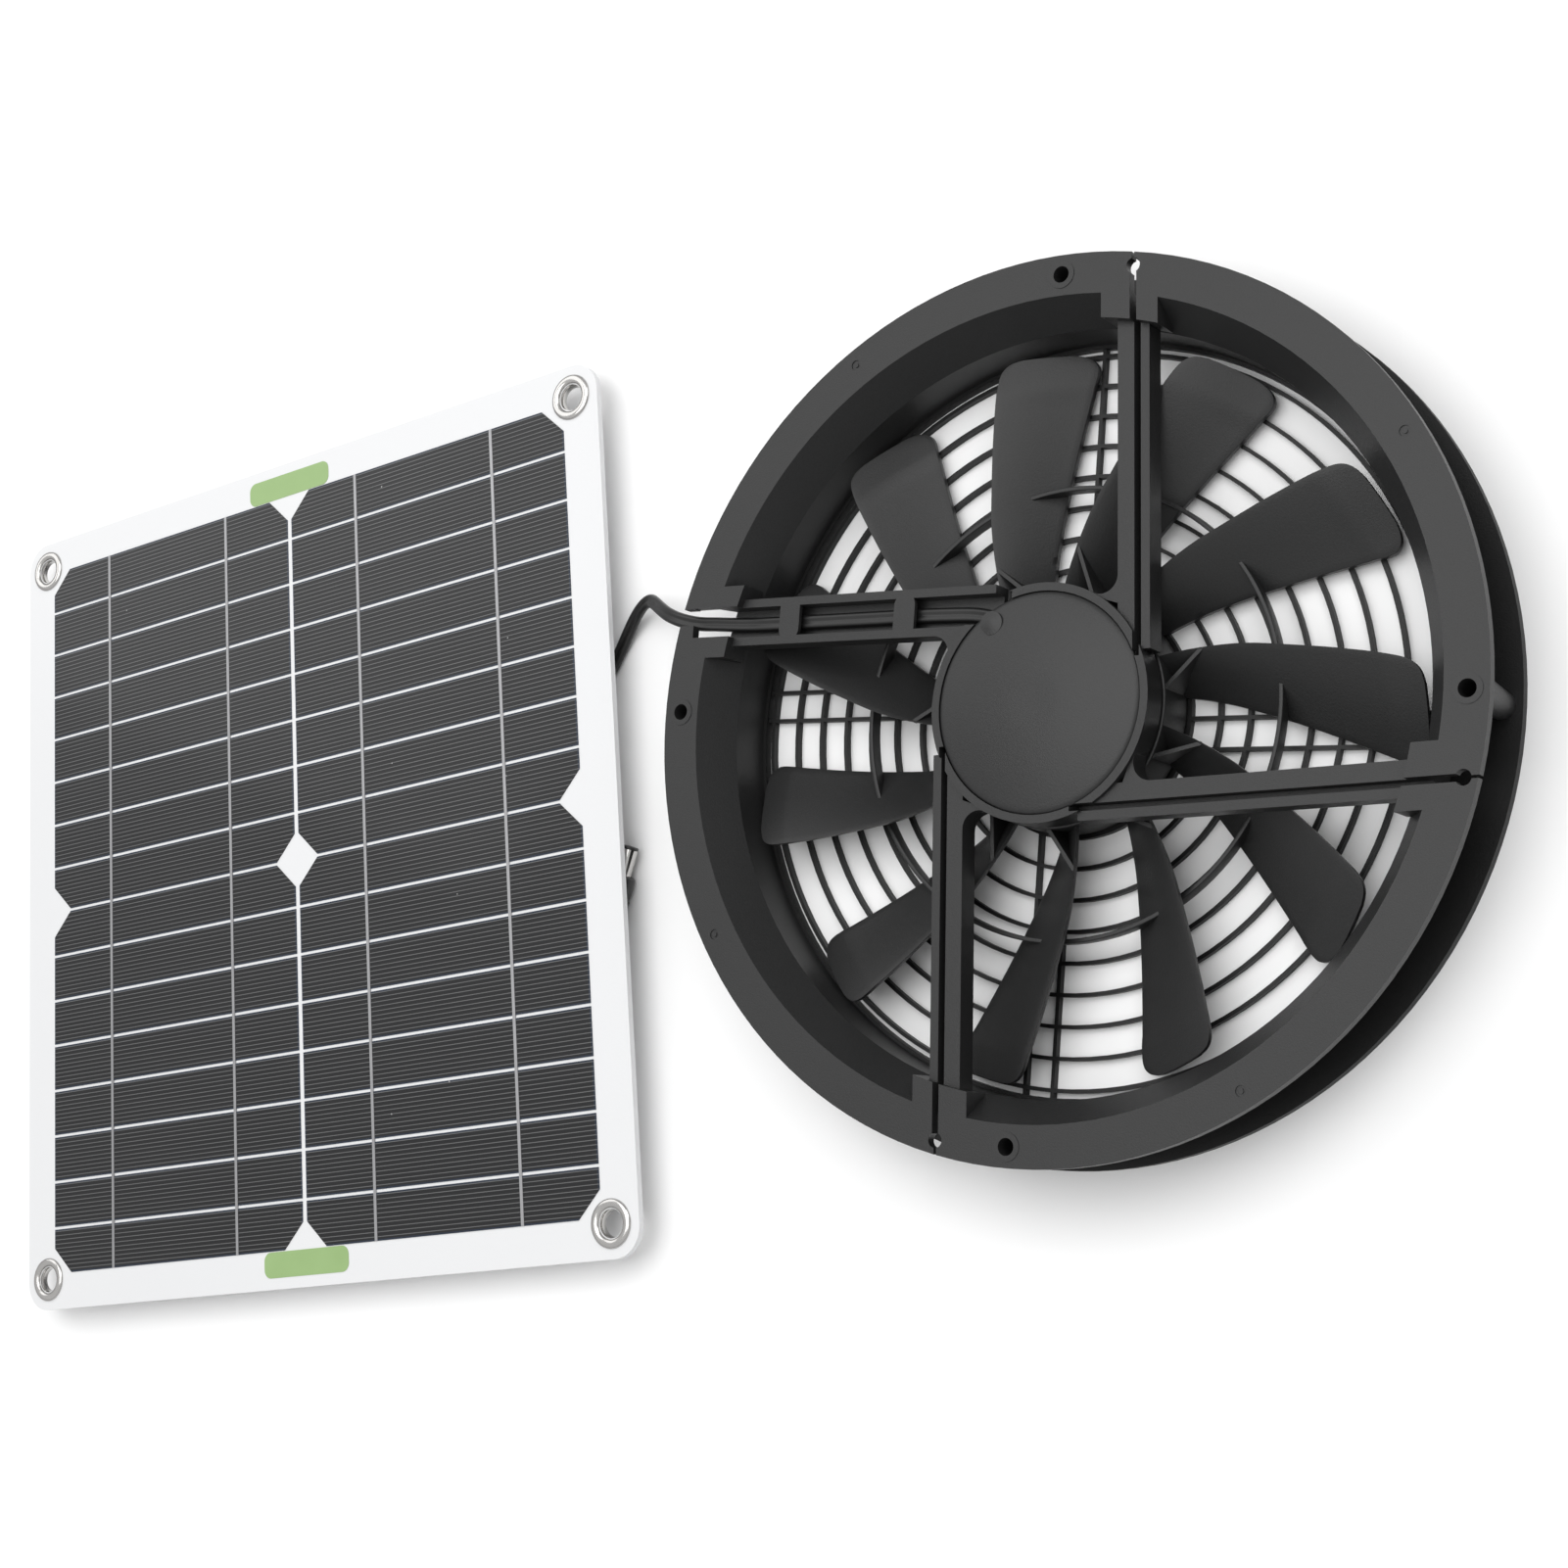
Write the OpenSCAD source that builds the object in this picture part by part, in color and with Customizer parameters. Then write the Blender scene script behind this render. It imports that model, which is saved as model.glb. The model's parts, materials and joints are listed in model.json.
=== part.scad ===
// Round exhaust fan for an attic vent, with the flat solar panel that runs it.
// The fan lies on its front guard and the panel lies on its junction box, on one level surface.
// Millimetres, +Z up. The origin is on the fan's axis, on that surface.

/* [Fan housing] */
// outside diameter of the rear ring and of the front guard
housing_d = 254; // [210:1:320]
// height from the guard's front face to the rear ring's flat face
housing_h = 28.4; // [26:0.2:40]
// width of the rear ring's flat face
face_w = 11.8; // [9:0.1:16]
// how far the bell mouth narrows from the flat face to the throat
bell_in = 6.9; // [3:0.1:10]
// height of the straight throat above the surface
throat_top = 17; // [10:0.5:20]
// thickness of the housing's moulded walls
wall_t = 2.2; // [1.6:0.1:3]
// thickness of the rear ring's plate and of the guard's flange
plate_t = 3; // [2:0.1:4]

/* [Fixing holes] */
// distance from the housing's edge to the centre of a fixing hole
hole_edge = 5.7; // [5:0.1:7]
// diameter of the four fixing holes
hole_d = 4.8; // [4:0.1:5.4]

/* [Struts] */
// turn of the three plain struts from square
strut_turn = 3.7; // [0:0.1:8]
// top width of a strut's wide rib
rib_wide = 5; // [3:0.1:7]
// width of the slot between a strut's ribs
slot_w = 2; // [1:0.1:3]
// top width of a strut's narrow rib
rib_narrow = 2.6; // [2:0.1:4]
// height of the struts
strut_h = 7; // [5:0.5:8]
// drop from the ring's face to the top of the struts
strut_drop = 2.8; // [1:0.1:4]
// outside width of the strut that carries the lead
channel_w = 14; // [11:0.5:18]
// diameter of the keyhole at the outer end of a slot
keyhole_d = 4.2; // [3:0.1:5]

/* [Hub and motor] */
// outside diameter of the hub ring
hub_d = 67.2; // [60:0.2:80]
// diameter of the motor cap
cap_d = 62.2; // [54:0.2:64]
// rise of the motor cap at its middle
cap_rise = 3.2; // [1:0.1:5]
// diameter of the motor shaft
shaft_d = 3; // [2:0.5:4]
// outside diameter of the two ball bearings
bearing_d = 8; // [7:0.5:10]
// width of each ball bearing
bearing_w = 3; // [2.5:0.5:4]
// radial running clearance of the shaft in its bearings
run_fit = 0.03; // [0.01:0.01:0.1]
// number of slots and coils in the stator
slot_count = 9; // [6:3:12]

/* [Impeller] */
// number of blades
blade_count = 11; // [5:1:13]
// gap between the blade tips and the throat
tip_gap = 3.5; // [2:0.1:8]
// thickness of a blade
blade_t = 1.8; // [1.2:0.1:3]
// radius of the stiffening band between the blades
band_r = 64.4; // [50:0.2:90]
// gap between the rotor and the guard or the struts
rotor_gap = 1.4; // [1:0.1:3]

/* [Guard] */
// spacing of the guard's rings
ring_pitch = 8.85; // [6:0.05:12]
// width of the guard's bars
bar_w = 1.8; // [1.2:0.1:3]
// height of the guard's bars
bar_h = 2.2; // [1.5:0.1:3]
// diameter of the disc in the middle of the guard
disc_d = 70; // [50:1:90]

/* [Solar panel] */
// panel width, across its two columns of cells
panel_w = 281; // [240:1:400]
// panel length, along its columns of cells
panel_l = 290; // [250:1:420]
// panel thickness without the cells
panel_t = 2.2; // [1.5:0.1:5]
// gap between the housing and the panel before the panel is turned
panel_gap = 28; // [15:1:100]
// how far the panel's middle sits below the fan's axis in plan
panel_shift = 44.6; // [0:0.1:100]
// turn of the panel on the surface
panel_turn = 9.7; // [0:0.1:45]
// width of a cell
cell_w = 125; // [100:1:130]
// length of one cell strip
strip_l = 15.6; // [12:0.1:16]
// gap between strips and between columns
cell_gap = 1; // [0.4:0.1:2]
// size of a cell's cut corner
cell_cut = 8.8; // [4:0.1:12]
// outside diameter of an eyelet
eyelet_d = 15.4; // [12:0.1:18]
// diameter of the hole through an eyelet
eyelet_hole = 8; // [6:0.1:10]
// distance from the panel's edge to an eyelet's centre
eyelet_edge = 10.8; // [9:0.1:16]

/* [Junction box and plug] */
// junction box size along the panel's width
box_w = 78; // [60:1:90]
// junction box size along the panel's length
box_l = 52; // [40:1:70]
// junction box height, which is the panel's height above the surface
box_h = 9.4; // [9.2:0.1:16]
// outside diameter of the plug's barrel
barrel_d = 5.5; // [5.5:0.1:5.5]
// length of the plug's barrel
barrel_l = 9.5; // [9:0.1:10]
// diameter of the plug's pin hole
pin_hole = 2.1; // [2.1:0.1:2.5]
// diameter of the lead
lead_d = 3.2; // [2.5:0.1:3.4]

/* [Hidden] */
$fn = 96;
housing_r = housing_d / 2;
face_r = housing_r - face_w;
throat_r = face_r - bell_in;
hole_r = housing_r - hole_edge;
hub_r = hub_d / 2;
cap_r = cap_d / 2;
cap_fit = 0.2;
ring_z = housing_h - plate_t;
strut_top = housing_h - strut_drop;
strut_low = strut_top - strut_h;
hub_top = housing_h - 1.4;
floor_t = 2;
floor_top = strut_low + floor_t;
dark = [0.16, 0.16, 0.16];
steel = [0.72, 0.72, 0.74];

// motor heights
rotor_low = bar_h + rotor_gap - 0.2;
rotor_top = strut_low - rotor_gap;
yoke_t = 0.8;
shell_t = 1.4;
magnet_t = 3;
air_gap = 0.6;
rotor_r = hub_r + 0.4;
yoke_r = rotor_r - shell_t;
magnet_r = yoke_r - yoke_t;
stator_r = magnet_r - magnet_t - air_gap;
tube_wall = 1.4;
tube_r = bearing_d / 2 + tube_wall;
boss_r = 3.4;
boss_top = rotor_low + 4;
tube_low = boss_top + 1.2;
core_t = 4;
core_low = tube_low + 1.9;
coil_over = 1.6;
shaft_top = floor_top + 2.4;
board_z = floor_top + 1;
board_t = 1.2;
board_r = cap_r - 4.4;
post_r = 22;
pin_r = 7.8;

// blade outline: radius, angle of its high edge and angle of its low edge, from the tip's high corner
blade_start = 5.5;
blade_tip = throat_r - tip_gap;
hub_edge = [[rotor_r - 1.4, 18.5, 2], [38, 16.8, 0], [47, 14, -3], [58, 10.8, -6.4]];
mid_edge = [[70, 7.2, -9.3], [83, 4.2, -11.8]];
blade_end = [
    [blade_tip - 9.5, 1.8, -13.7],
    [blade_tip - 4.5, 0, -14.2],
    [blade_tip - 2, -1.4, -13.2],
    [blade_tip - 0.6, -2.9, -11.6],
    [blade_tip, -4.8, -9.6]
];
blade_rows = concat(hub_edge, mid_edge, blade_end);
blade_clear = 0.6;
blade_low = bar_h + blade_clear + blade_t;
blade_high = rotor_top - 0.4;
band_low = 6;
band_high = 10.4;
band_t = 1.3;

// guard
spoke_offsets = [1.2, 9.9];
first_ring = throat_r - 3.1;
ring_count = floor((first_ring - disc_d / 2) / ring_pitch) + 1;

// strut layout, measured across each strut from the fan's axis
narrow_out = hub_r;
slot_out = narrow_out - rib_narrow;
slot_in = slot_out - slot_w;
wide_in = slot_in - rib_wide;
pad_w = 3.8;
channel_out = hub_r + 0.6;
channel_in = channel_out - channel_w;
channel_rib = 2.5;
key_r = housing_r - 3.8;

// solar panel
panel_x = -(housing_r + panel_gap + panel_w / 2);
panel_y = -panel_shift;
sheet_top = box_h + panel_t;
cell_t = 0.25;
strips_per_cell = 8;
strip_pitch = strip_l + cell_gap;
column_l = 2 * strips_per_cell * strip_pitch - cell_gap;
column_x = (cell_w + 2 * cell_gap) / 2;
ribbon_w = 1.2;
ribbon_t = 0.12;
eyelet_x = panel_w / 2 - eyelet_edge;
eyelet_y = panel_l / 2 - eyelet_edge;
eyelet_wall = 0.5;
lid_t = 1.2;
box_wall = 1.2;
jack_x = box_w / 2;
jack_y = 10;
jack_z = box_h / 2;

// lead: flat twin cord, its plug lies on the surface beside the panel's edge
tail_l = 30;
plug_r = 4.5;
plug_tail_r = 2.3;
barrel_wall = 0.5;
barrel_seat = 2;
seat_step = 0.2;
tip_l = 0.9;
plug_angle = 76;
plug_pos = [-157.6, -47.4, plug_r];
plug_tail = plug_pos - tail_l * [cos(plug_angle), sin(plug_angle), 0];
coil_pos = [-212, -30, 0];
coil_mid = 23.1;
coil_w = 18.4;
coil_h = 7;
lead_z = floor_top + lead_d / 2 + 0.05;
rest_z = lead_d / 2 + 0.25;
inner_route = [
    [-9, 20.6, lead_z + 2.4], [-12.5, 22.6, lead_z + 2.1], [-15.6, 24.2, lead_z + 1],
    [-18.6, 25.3, lead_z + 0.4], [-24, 26.4, lead_z], [-32, 26.8, lead_z], [-42, 27, lead_z],
    [-54, 27, lead_z], [-66, 27, lead_z], [-78, 27, lead_z], [-90, 27, lead_z],
    [-100, 27.1, lead_z], [-107, 27.3, lead_z + 0.4], [-114, 27.7, lead_z + 0.8]
];
free_route = [
    [-114, 27.7, lead_z + 0.8], [-121, 28.1, lead_z + 1.2], [-128, 29.6, 23.2], [-134.5, 32, 21.4],
    [-140.5, 35, 18.2], [-146, 37.8, 14.4], [-151, 39.4, 10.6], [-156, 39, 7.2], [-160.6, 36.4, 4.6],
    [-164.4, 32, 2.9], [-167.8, 26, 2.1], [-171.8, 18.6, rest_z], [-177, 11.4, rest_z],
    [-184, 5.8, 2.2], [-192, 2, 3], [-200, 0.2, 3.5], [-207.3, -0.4, 3.5]
];
plug_route = [
    [-235.4, -16.5, 5.2], [-242, -20.8, 5.2], [-247.2, -26.9, 4.6], [-249.8, -34, 3.2],
    [-250.4, -41, 2.1], [-249.6, -48, rest_z], [-247.2, -55.8, rest_z], [-243, -64, rest_z],
    [-236.5, -72, rest_z], [-228, -79.2, rest_z], [-218, -85.3, rest_z], [-207, -90, rest_z],
    [-196, -93, rest_z], [-188, -94, rest_z], [-181.7, -94, 2.1], [-176.2, -93, 2.5],
    [-171.4, -90.2, 3.1], [-167.9, -86, 3.9],
    plug_tail - 5.5 * [cos(plug_angle), sin(plug_angle), 0], plug_tail
];

// ---- helpers

module tube(outer, inner, low, high) {
    translate([0, 0, low])
        difference() {
            cylinder(h = high - low, r = outer);
            translate([0, 0, -1])
                cylinder(h = high - low + 2, r = inner);
        }
}

module block(low, high) {
    translate(low)
        cube(high - low);
}

function unit(v) = v / norm(v);
function along(route, i) =
    unit(route[min(i + 1, len(route) - 1)] - route[max(i - 1, 0)]);
function tube_ring(route, i, r, sides) =
    let (d = along(route, i), side = unit(cross([0, 0, 1], d)), up = cross(d, side))
    [for (k = [0 : sides - 1]) route[i] + r * (cos(360 * k / sides) * side + sin(360 * k / sides) * up)];

// a round tube along a route, closed at both ends
module swept(route, r, sides = 8) {
    last = len(route) - 1;
    points = [for (i = [0 : last]) each tube_ring(route, i, r, sides)];
    walls = [
        for (i = [0 : last - 1], k = [0 : sides - 1])
            let (a = i * sides + k, b = i * sides + (k + 1) % sides)
            each [[a, b + sides, b], [a, a + sides, b + sides]]
    ];
    start = [for (k = [0 : sides - 1]) k];
    end = [for (k = [sides - 1 : -1 : 0]) last * sides + k];
    polyhedron(points, concat(walls, [start, end]));
}

module at_struts() {
    for (turn = [0, -90, -180])
        rotate([0, 0, turn + strut_turn])
            children();
}

module on_panel() {
    translate([panel_x, panel_y, 0])
        rotate([0, 0, panel_turn])
            children();
}

module at_box() {
    on_panel()
        rotate([0, 0, 180])
            children();
}

module at_corners(x, y) {
    for (sx = [-1, 1], sy = [-1, 1])
        translate([sx * x, sy * y, 0])
            children();
}

module at_plug() {
    translate(plug_pos)
        rotate([0, 0, plug_angle])
            rotate([0, 90, 0])
                children();
}

// ---- fan housing

module shell_profile() {
    bell = throat_r + wall_t;
    polygon([
        [throat_r, plate_t], [throat_r, throat_top], [face_r, housing_h], [housing_r, housing_h],
        [housing_r, ring_z], [face_r + wall_t - 1, ring_z], [bell, throat_top - 0.6], [bell, plate_t]
    ]);
}

// fills the strut's root between the throat and the ring's face
module root_pad(from, to) {
    intersection() {
        block([from, 60, strut_low], [to, housing_r, housing_h]);
        difference() {
            translate([0, 0, strut_low])
                cylinder(h = housing_h - strut_low, r1 = throat_r + 2.4, r2 = face_r + 1);
            cylinder(h = housing_h + 1, r = throat_r - 0.1);
        }
    }
}

// clears what would pass outside the bell's wall
module within_bell() {
    intersection() {
        children();
        translate([0, 0, strut_low])
            cylinder(h = strut_h + 0.1, r1 = throat_r + 2, r2 = face_r - 0.4);
    }
}

// rounds the inner corner where a wide rib leaves the hub ring
module hub_fillet(edge) {
    fillet_r = 5;
    out = hub_r + fillet_r;
    cx = edge - fillet_r;
    cy = sqrt(out * out - cx * cx);
    touch = hub_r / out;
    translate([0, 0, strut_low])
        linear_extrude(height = strut_h)
            difference() {
                polygon([
                    [cx, cy], [edge + 0.5, cy], [edge + 0.5, cy * touch - 4],
                    [cx * touch, cy * touch - 1], [cx * touch, cy * touch]
                ]);
                translate([cx, cy])
                    circle(r = fillet_r);
            }
}

module plain_strut() {
    within_bell()
        block([wide_in, 12, strut_low], [narrow_out, housing_r, strut_top]);
    hub_fillet(wide_in);
    root_pad(wide_in - pad_w, narrow_out + pad_w);
}

module strut_slot() {
    mid = (slot_in + slot_out) / 2;
    slit_w = 0.8;
    block([slot_in, 10, strut_low + 2.4], [slot_out, key_r - 2, housing_h + 1]);
    block([mid - slit_w / 2, key_r - 3, strut_low + 2.4], [mid + slit_w / 2, housing_r + 1, housing_h + 1]);
    translate([mid, sqrt(key_r * key_r - mid * mid), strut_low])
        cylinder(h = strut_h + strut_drop + 1, d = keyhole_d);
}

module channel_strut() {
    rotate([0, 0, 90]) {
        within_bell()
            block([channel_in, 16, strut_low], [channel_out, housing_r, strut_top]);
        hub_fillet(channel_in);
        root_pad(channel_in - pad_w, channel_out + pad_w);
    }
}

module channel_cut() {
    inner = channel_in + channel_rib;
    outer = channel_out - channel_rib;
    rotate([0, 0, 90]) {
        block([inner, 10, floor_top], [outer, face_r + 2, housing_h + 1]);
        block([inner, face_r + 1.5, strut_low - 1], [outer, face_r + 4, housing_h + 1]);
        block([inner + 3.8, face_r + 3, strut_low - 1], [outer - 0.2, housing_r + 1, housing_h + 1]);
    }
}

// tongues that hold the lead down in its channel
module channel_clips() {
    clip_w = 7;
    reach = 7.2;
    clip_t = 1.4;
    translate([0, 0, strut_top - clip_t])
        linear_extrude(height = clip_t) {
            translate([-86, channel_out - channel_rib - reach / 2 + 0.2])
                square([clip_w, reach], center = true);
            translate([-86, channel_out - channel_rib - reach + 0.2])
                circle(d = clip_w);
            translate([-46, channel_in + channel_rib + reach / 2 - 0.2])
                square([clip_w, reach], center = true);
            translate([-46, channel_in + channel_rib + reach - 0.2])
                circle(d = clip_w);
        }
}

module rear_frame() {
    rim_h = 0.2;
    color(dark)
        difference() {
            union() {
                rotate_extrude()
                    shell_profile();
                for (turn = [0 : 90 : 270])
                    rotate([0, 0, turn])
                        translate([hole_r, 0, 0]) {
                            translate([0, 0, plate_t])
                                cylinder(h = ring_z - plate_t + 0.5, r1 = 3.7, r2 = 5.2);
                            tube(hole_d / 2 + 1.6, hole_d / 2, housing_h - 1, housing_h + rim_h);
                        }
                at_struts()
                    plain_strut();
                channel_strut();
                translate([0, 0, strut_low])
                    cylinder(h = hub_top - strut_low, r = hub_r);
            }
            translate([0, 0, floor_top])
                cylinder(h = housing_h, r = cap_r - 1.4);
            translate([0, 0, hub_top - 2.4])
                cylinder(h = housing_h, r = cap_r + cap_fit);
            cylinder(h = housing_h, r = tube_r);
            at_struts()
                strut_slot();
            channel_cut();
            for (turn = [0 : 90 : 270])
                rotate([0, 0, turn])
                    translate([hole_r, 0, -1])
                        cylinder(h = housing_h + 3, d = hole_d);
            for (turn = [33.2 : 90 : 304])
                rotate([0, 0, turn])
                    translate([hole_r + 0.9, 0, 0])
                        tube(1.55, 0.7, housing_h - 0.3, housing_h + 1);
            for (turn = [0 : 120 : 240])
                rotate([0, 0, turn + 25])
                    translate([pin_r, 0, strut_low - 1])
                        cylinder(h = floor_t + 2, d = 1.6);
        }
    color(dark)
        channel_clips();
    color(dark)
        for (turn = [70, 250])
            rotate([0, 0, turn])
                translate([post_r, 0, 0])
                    tube(2.2, 0.8, floor_top - 0.5, board_z);
}

module front_guard() {
    color(dark)
        difference() {
            union() {
                tube(housing_r, throat_r - 1, 0, plate_t);
                for (i = [0 : ring_count - 1])
                    let (r = first_ring - i * ring_pitch)
                        tube(r + bar_w / 2, r - bar_w / 2, 0, bar_h);
                cylinder(h = bar_h, d = disc_d);
                for (turn = [0 : 90 : 270], x = spoke_offsets)
                    rotate([0, 0, turn])
                        block([x - bar_w / 2, disc_d / 2 - 3, 0], [x + bar_w / 2, throat_r, bar_h]);
            }
            for (turn = [0 : 90 : 270])
                rotate([0, 0, turn])
                    translate([hole_r, 0, -1])
                        cylinder(h = plate_t + 2, d = hole_d);
        }
}

// ---- motor, the pieces that stay still

module motor_cap() {
    skirt = 1.5;
    t = 1.3;
    ball = (cap_r * cap_r + cap_rise * cap_rise) / (2 * cap_rise);
    color(dark)
        translate([0, 0, hub_top]) {
            intersection() {
                translate([0, 0, cap_rise - ball])
                    difference() {
                        sphere(r = ball, $fn = 200);
                        sphere(r = ball - t, $fn = 200);
                    }
                cylinder(h = cap_rise + 1, r = cap_r);
            }
            tube(cap_r, cap_r - 1.2, -skirt, 0.4);
            translate([-15.3, 22.6, 0.2])
                cylinder(h = 1.2, r1 = 1.6, r2 = 0.9);
        }
}

module bearing_tube() {
    color([0.78, 0.64, 0.32])
        difference() {
            tube(tube_r, bearing_d / 2 - 0.6, tube_low, floor_top);
            translate([0, 0, tube_low - 1])
                cylinder(h = bearing_w + 1, d = bearing_d);
            translate([0, 0, floor_top - bearing_w])
                cylinder(h = bearing_w + 1, d = bearing_d);
        }
}

// one solid: outer race, shields and inner race drawn as a stepped profile
module ball_bearing(low) {
    outer = bearing_d / 2;
    inner = shaft_d / 2 + run_fit;
    race = (outer - inner) * 0.3;
    groove = 0.25;
    color(steel)
        translate([0, 0, low])
            rotate_extrude()
                polygon([
                    [inner, 0], [inner + race, 0], [inner + race, groove], [outer - race, groove],
                    [outer - race, 0], [outer, 0], [outer, bearing_w], [outer - race, bearing_w],
                    [outer - race, bearing_w - groove], [inner + race, bearing_w - groove],
                    [inner + race, bearing_w], [inner, bearing_w]
                ]);
}

module front_bearing() {
    ball_bearing(tube_low);
}

module rear_bearing() {
    ball_bearing(floor_top - bearing_w);
}

// the stator's teeth, with wide faces towards the magnets
module tooth_shape(tip, neck_w, tip_w, bore) {
    difference() {
        union() {
            circle(r = bore + 3.6);
            for (i = [0 : slot_count - 1])
                rotate(i * 360 / slot_count) {
                    translate([bore + 1, -neck_w / 2])
                        square([tip - bore - 2, neck_w]);
                    intersection() {
                        difference() {
                            circle(r = tip);
                            circle(r = tip - 1.8);
                        }
                        translate([0, -tip_w / 2])
                            square([tip + 1, tip_w]);
                    }
                }
        }
        circle(r = bore);
    }
}

tooth_w = 3.2;
face_gap = 2.4;
tooth_face = 2 * PI * stator_r / slot_count - face_gap;

module stator_core() {
    color([0.45, 0.46, 0.48])
        translate([0, 0, core_low])
            linear_extrude(height = core_t)
                tooth_shape(stator_r, tooth_w, tooth_face, tube_r);
}

module stator_insulator() {
    skin = 0.6;
    color([0.86, 0.84, 0.76])
        for (z = [core_low - skin, core_low + core_t])
            translate([0, 0, z])
                linear_extrude(height = skin)
                    tooth_shape(stator_r - 0.6, tooth_w, tooth_face - 1, tube_r);
}

module stator_coils() {
    skin = 0.6;
    from = tube_r + 4.4;
    to = stator_r - 3;
    side = 1.7;
    half = core_t / 2 + skin;
    color([0.72, 0.38, 0.18])
        for (i = [0 : slot_count - 1])
            rotate([0, 0, i * 360 / slot_count])
                translate([from, 0, core_low + core_t / 2])
                    difference() {
                        block([0, -tooth_w / 2 - side, -half - coil_over + skin],
                            [to - from, tooth_w / 2 + side, half + coil_over - skin]);
                        block([-1, -tooth_w / 2, -half], [to - from + 1, tooth_w / 2, half]);
                    }
}

module phase_pins() {
    low = core_low + core_t + 0.6;
    color([0.75, 0.62, 0.3])
        for (turn = [0 : 120 : 240])
            rotate([0, 0, turn + 25])
                translate([pin_r, 0, low])
                    cylinder(h = board_z + board_t + 0.6 - low, r = 0.4);
}

module driver_board() {
    color([0.1, 0.35, 0.2])
        difference() {
            translate([0, 0, board_z])
                cylinder(h = board_t, r = board_r);
            translate([0, 0, board_z - 1]) {
                cylinder(h = board_t + 2, r = 4.4);
                for (turn = [70, 250])
                    rotate([0, 0, turn])
                        translate([post_r, 0, 0])
                            cylinder(h = board_t + 2, r = 1.1);
                for (turn = [0 : 120 : 240])
                    rotate([0, 0, turn + 25])
                        translate([pin_r, 0, 0])
                            cylinder(h = board_t + 2, r = 0.45);
            }
            block([-40, 19.5, board_z - 1], [-10.5, 40, board_z + 3]);
        }
}

module board_screws() {
    color(steel)
        for (turn = [70, 250])
            rotate([0, 0, turn])
                translate([post_r, 0, 0]) {
                    translate([0, 0, board_z + board_t])
                        cylinder(h = 1, r1 = 1.9, r2 = 1.5);
                    translate([0, 0, floor_top + 0.1])
                        cylinder(h = 1 + board_t, r = 0.8);
                }
}

module driver_chip() {
    top = board_z + board_t;
    color([0.08, 0.08, 0.08])
        block([9, -2.5, top + 0.1], [13, 2.5, top + 1.5]);
    color(steel)
        for (x = [8, 13], y = [-1.9 : 1.27 : 1.95])
            block([x, y - 0.2, top], [x + 1, y + 0.2, top + 0.5]);
}

module hall_sensor() {
    color([0.08, 0.08, 0.08])
        block([-2, -14.5, board_z - 0.9], [2, -11.5, board_z]);
}

module filter_capacitor() {
    color([0.75, 0.75, 0.78])
        translate([6, -15, board_z + board_t + 1.4])
            rotate([0, 90, 20])
                cylinder(h = 6, r = 1.4);
}

module reverse_diode() {
    top = board_z + board_t;
    color([0.08, 0.08, 0.08])
        block([-14, -8, top], [-9.5, -5.4, top + 1.6]);
}

// ---- rotor

function blade_angle(row, share, start) = start + row[2] + (row[1] - row[2]) * share;
function blade_point(row, share, start, top) =
    let (a = blade_angle(row, share, start), z = blade_low + (blade_high - blade_low) * share)
    [row[0] * cos(a), row[0] * sin(a), z - (top ? 0 : blade_t) + 0.9 * sin(180 * share) * (share - 0.5)];

// one blade: rows of points from the hub to the tip, lofted into a thin twisted plate
module blade(start) {
    shares = [0, 0.25, 0.5, 0.75, 1];
    n = len(shares);
    rows = len(blade_rows);
    points = [
        for (row = blade_rows)
            each concat(
                [for (s = shares) blade_point(row, s, start, true)],
                [for (k = [n - 1 : -1 : 0]) blade_point(row, shares[k], start, false)]
            )
    ];
    size = 2 * n;
    walls = [
        for (i = [0 : rows - 2], k = [0 : size - 1])
            let (a = i * size + k, b = i * size + (k + 1) % size)
            each [[a, b, b + size], [a, b + size, a + size]]
    ];
    end_row = (rows - 1) * size;
    caps = [
        for (k = [0 : n - 2])
            each [
                [k + 1, k, size - 1 - k], [k + 1, size - 1 - k, size - 2 - k],
                [end_row + k, end_row + k + 1, end_row + size - 1 - k],
                [end_row + k + 1, end_row + size - 2 - k, end_row + size - 1 - k]
            ]
    ];
    polyhedron(points, concat(walls, caps));
}

// upright web that ties a blade's high edge back to the hub
module root_web(start) {
    far = 46;
    web_top = blade_high - 0.3;
    near = rotor_r - 1;
    a = [far * cos(start + 14), far * sin(start + 14)];
    b = [near * cos(start + 2), near * sin(start + 2)];
    span = norm(a - b);
    turn = atan2(a[1] - b[1], a[0] - b[0]);
    translate([b[0], b[1], 0])
        rotate([90, 0, turn])
            linear_extrude(height = 1.1, center = true)
                polygon([[0, blade_low + 0.6], [span, web_top - 1.2], [span, web_top], [0, web_top]]);
}

module impeller() {
    step = 360 / blade_count;
    color(dark) {
        difference() {
            union() {
                tube(rotor_r, yoke_r, rotor_low, rotor_top);
                translate([0, 0, rotor_low])
                    cylinder(h = 1.6, r = yoke_r + 0.2);
            }
            cylinder(h = 40, r = boss_r);
        }
        for (i = [0 : blade_count - 1]) {
            difference() {
                union() {
                    blade(blade_start + i * step);
                    root_web(blade_start + i * step);
                }
                cylinder(h = 60, r = rotor_r - 0.4);
            }
        }
        tube(band_r + band_t / 2, band_r - band_t / 2, band_low, band_high);
    }
}

module rotor_yoke() {
    color([0.55, 0.55, 0.57]) {
        tube(yoke_r, magnet_r, rotor_low + 1.6, rotor_top - 0.4);
        tube(magnet_r + 0.1, boss_r + 0.4, rotor_low + 1.6, rotor_low + 1.6 + yoke_t);
    }
}

module magnet_ring() {
    color([0.22, 0.21, 0.2])
        tube(magnet_r, magnet_r - magnet_t, rotor_low + 1.6 + yoke_t, rotor_top - 1);
}

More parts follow.
